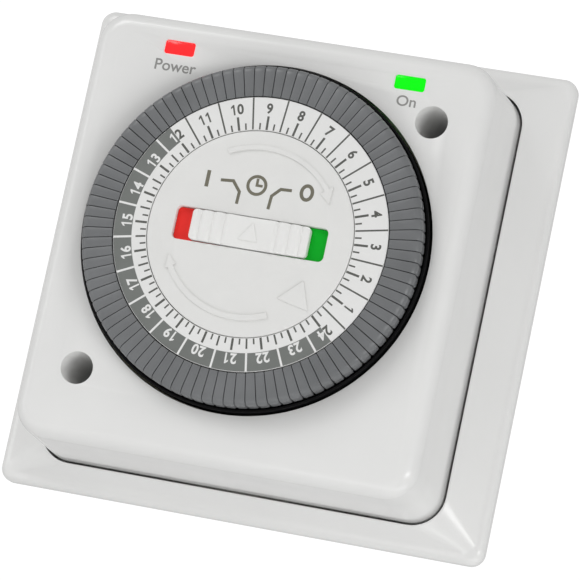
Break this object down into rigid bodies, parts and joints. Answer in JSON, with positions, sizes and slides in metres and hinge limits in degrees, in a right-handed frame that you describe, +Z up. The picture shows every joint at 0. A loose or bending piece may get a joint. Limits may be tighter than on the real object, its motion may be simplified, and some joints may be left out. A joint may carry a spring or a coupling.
{
  "type": "programmable timer",
  "caption": "Wall-mounted 24-hour time switch: square box and cover, rotating dial ringed with push-in tappets, three-position slider, two indicator lenses.",
  "frame": {"origin": "centre of the back box's back face, on the wall", "axes": "+Z up the wall, +X to the right seen from the front, the front faces -Y"},
  "size_m": [0.103, 0.0405, 0.102],
  "materials": {
    "white_plastic": "gloss moulded",
    "disc_plastic": "fine satin moulded",
    "tappet_plastic": "satin moulded",
    "black_plastic": "satin moulded",
    "scale_print": "printed",
    "cream_plastic": "moulded",
    "brass": "turned",
    "steel": "zinc plated",
    "motor_can": "drawn steel",
    "red_lens": "translucent moulded",
    "green_lens": "translucent moulded",
    "lamp_glass": "clear",
    "circuit_board": "phenolic board",
    "resistor_body": "lacquered",
    "natural_plastic": "moulded acetal",
    "red_plastic": "moulded",
    "green_plastic": "moulded",
    "blue_plastic": "moulded acetal"
  },
  "bodies": {
    "housing": {"back_box": "white_plastic", "earth_terminal": "brass", "earth_screw": "brass", "fixing_inserts": "brass", "front_cover": "white_plastic", "cover_screws": "steel", "power_lens": "red_lens", "on_lens": "green_lens", "neon_lamps": "lamp_glass", "lamp_board": "circuit_board", "lamp_resistors": "resistor_body", "chassis_plate": "cream_plastic", "tapping_screws": "steel", "rear_cover": "cream_plastic", "rear_cover_screws": "steel", "drive_motor": "motor_can", "gear_shaft": "steel", "centre_disc": "disc_plastic", "red_flag": "red_plastic", "green_flag": "green_plastic", "follower_pin": "steel", "follower_spring": "steel", "switch_case": "black_plastic", "terminal_block": "cream_plastic", "terminal_clamps": "brass", "terminal_screws": "steel"},
    "dial": {"dial_carrier": "black_plastic", "scale_ring": "scale_print"},
    "drive_gear": {"drive_wheel": "natural_plastic", "drive_pinion": "brass", "clutch_spring": "steel"},
    "motor_output": {"motor_pinion": "brass"},
    "slider": {"override_slider": "disc_plastic"},
    "selector": {"selector_lever": "red_plastic"},
    "follower": {"follower_lever": "blue_plastic"},
    "plunger": {"switch_plunger": "red_plastic"},
    "tappets_hour_01": {"tappets_hour_01": "tappet_plastic"},
    "tappets_hour_02": {"tappets_hour_02": "tappet_plastic"},
    "tappets_hour_03": {"tappets_hour_03": "tappet_plastic"},
    "tappets_hour_04": {"tappets_hour_04": "tappet_plastic"},
    "tappets_hour_05": {"tappets_hour_05": "tappet_plastic"},
    "tappets_hour_06": {"tappets_hour_06": "tappet_plastic"},
    "tappets_hour_07": {"tappets_hour_07": "tappet_plastic"},
    "tappets_hour_08": {"tappets_hour_08": "tappet_plastic"},
    "tappets_hour_09": {"tappets_hour_09": "tappet_plastic"},
    "tappets_hour_10": {"tappets_hour_10": "tappet_plastic"},
    "tappets_hour_11": {"tappets_hour_11": "tappet_plastic"},
    "tappets_hour_12": {"tappets_hour_12": "tappet_plastic"},
    "tappets_hour_13": {"tappets_hour_13": "tappet_plastic"},
    "tappets_hour_14": {"tappets_hour_14": "tappet_plastic"},
    "tappets_hour_15": {"tappets_hour_15": "tappet_plastic"},
    "tappets_hour_16": {"tappets_hour_16": "tappet_plastic"},
    "tappets_hour_17": {"tappets_hour_17": "tappet_plastic"},
    "tappets_hour_18": {"tappets_hour_18": "tappet_plastic"},
    "tappets_hour_19": {"tappets_hour_19": "tappet_plastic"},
    "tappets_hour_20": {"tappets_hour_20": "tappet_plastic"},
    "tappets_hour_21": {"tappets_hour_21": "tappet_plastic"},
    "tappets_hour_22": {"tappets_hour_22": "tappet_plastic"},
    "tappets_hour_23": {"tappets_hour_23": "tappet_plastic"},
    "tappets_hour_24": {"tappets_hour_24": "tappet_plastic"}
  },
  "joints": [
    {"name": "dial_spin", "type": "hinge", "parent": "housing", "child": "dial", "pos_m": [0, -0.036, 0.0013], "axis": [0, -1, 0], "continuous": true},
    {"name": "override_slide", "type": "slide", "parent": "housing", "child": "slider", "axis": [1, 0, 0], "range_m": [-0.0032, 0.0032]},
    {"name": "selector_swing", "type": "hinge", "parent": "housing", "child": "selector", "pos_m": [0, -0.0253, -0.0107], "axis": [0, 1, 0], "range_deg": [-15.4, 15.4]},
    {"name": "follower_swing", "type": "hinge", "parent": "housing", "child": "follower", "pos_m": [0.002, -0.0247, -0.0206], "axis": [0, 0, 1], "range_deg": [0, 3.8], "stiffness_Nm_per_rad": 0.02, "springref_deg": -11.46},
    {"name": "plunger_press", "type": "slide", "parent": "housing", "child": "plunger", "axis": [0, 1, 0], "range_m": [0, 0.0006]},
    {"name": "drive_gear_spin", "type": "hinge", "parent": "housing", "child": "drive_gear", "pos_m": [-0.021, -0.025, 0.0013], "axis": [0, -1, 0], "continuous": true},
    {"name": "motor_output_spin", "type": "hinge", "parent": "housing", "child": "motor_output", "pos_m": [-0.014, -0.025, 0.01342], "axis": [0, -1, 0], "continuous": true},
    {"name": "push_hour_01", "type": "slide", "parent": "dial", "child": "tappets_hour_01", "axis": [0, 1, 0], "range_m": [0, 0.0025]},
    {"name": "push_hour_02", "type": "slide", "parent": "dial", "child": "tappets_hour_02", "axis": [0, 1, 0], "range_m": [0, 0.0025]},
    {"name": "push_hour_03", "type": "slide", "parent": "dial", "child": "tappets_hour_03", "axis": [0, 1, 0], "range_m": [0, 0.0025]},
    {"name": "push_hour_04", "type": "slide", "parent": "dial", "child": "tappets_hour_04", "axis": [0, 1, 0], "range_m": [0, 0.0025]},
    {"name": "push_hour_05", "type": "slide", "parent": "dial", "child": "tappets_hour_05", "axis": [0, 1, 0], "range_m": [0, 0.0025]},
    {"name": "push_hour_06", "type": "slide", "parent": "dial", "child": "tappets_hour_06", "axis": [0, 1, 0], "range_m": [0, 0.0025]},
    {"name": "push_hour_07", "type": "slide", "parent": "dial", "child": "tappets_hour_07", "axis": [0, 1, 0], "range_m": [0, 0.0025]},
    {"name": "push_hour_08", "type": "slide", "parent": "dial", "child": "tappets_hour_08", "axis": [0, 1, 0], "range_m": [0, 0.0025]},
    {"name": "push_hour_09", "type": "slide", "parent": "dial", "child": "tappets_hour_09", "axis": [0, 1, 0], "range_m": [0, 0.0025]},
    {"name": "push_hour_10", "type": "slide", "parent": "dial", "child": "tappets_hour_10", "axis": [0, 1, 0], "range_m": [0, 0.0025]},
    {"name": "push_hour_11", "type": "slide", "parent": "dial", "child": "tappets_hour_11", "axis": [0, 1, 0], "range_m": [0, 0.0025]},
    {"name": "push_hour_12", "type": "slide", "parent": "dial", "child": "tappets_hour_12", "axis": [0, 1, 0], "range_m": [0, 0.0025]},
    {"name": "push_hour_13", "type": "slide", "parent": "dial", "child": "tappets_hour_13", "axis": [0, 1, 0], "range_m": [0, 0.0025]},
    {"name": "push_hour_14", "type": "slide", "parent": "dial", "child": "tappets_hour_14", "axis": [0, 1, 0], "range_m": [0, 0.0025]},
    {"name": "push_hour_15", "type": "slide", "parent": "dial", "child": "tappets_hour_15", "axis": [0, 1, 0], "range_m": [0, 0.0025]},
    {"name": "push_hour_16", "type": "slide", "parent": "dial", "child": "tappets_hour_16", "axis": [0, 1, 0], "range_m": [0, 0.0025]},
    {"name": "push_hour_17", "type": "slide", "parent": "dial", "child": "tappets_hour_17", "axis": [0, 1, 0], "range_m": [0, 0.0025]},
    {"name": "push_hour_18", "type": "slide", "parent": "dial", "child": "tappets_hour_18", "axis": [0, 1, 0], "range_m": [0, 0.0025]},
    {"name": "push_hour_19", "type": "slide", "parent": "dial", "child": "tappets_hour_19", "axis": [0, 1, 0], "range_m": [0, 0.0025]},
    {"name": "push_hour_20", "type": "slide", "parent": "dial", "child": "tappets_hour_20", "axis": [0, 1, 0], "range_m": [0, 0.0025]},
    {"name": "push_hour_21", "type": "slide", "parent": "dial", "child": "tappets_hour_21", "axis": [0, 1, 0], "range_m": [0, 0.0025]},
    {"name": "push_hour_22", "type": "slide", "parent": "dial", "child": "tappets_hour_22", "axis": [0, 1, 0], "range_m": [0, 0.0025]},
    {"name": "push_hour_23", "type": "slide", "parent": "dial", "child": "tappets_hour_23", "axis": [0, 1, 0], "range_m": [0, 0.0025]},
    {"name": "push_hour_24", "type": "slide", "parent": "dial", "child": "tappets_hour_24", "axis": [0, 1, 0], "range_m": [0, 0.0025]}
  ],
  "couplings": [
    {"joint": "selector_swing", "follows": "override_slide", "rad_per_m": 83.333},
    {"joint": "plunger_press", "follows": "follower_swing", "m_per_rad": 0.0085},
    {"joint": "drive_gear_spin", "follows": "dial_spin", "ratio": 8},
    {"joint": "motor_output_spin", "follows": "dial_spin", "ratio": -48}
  ]
}
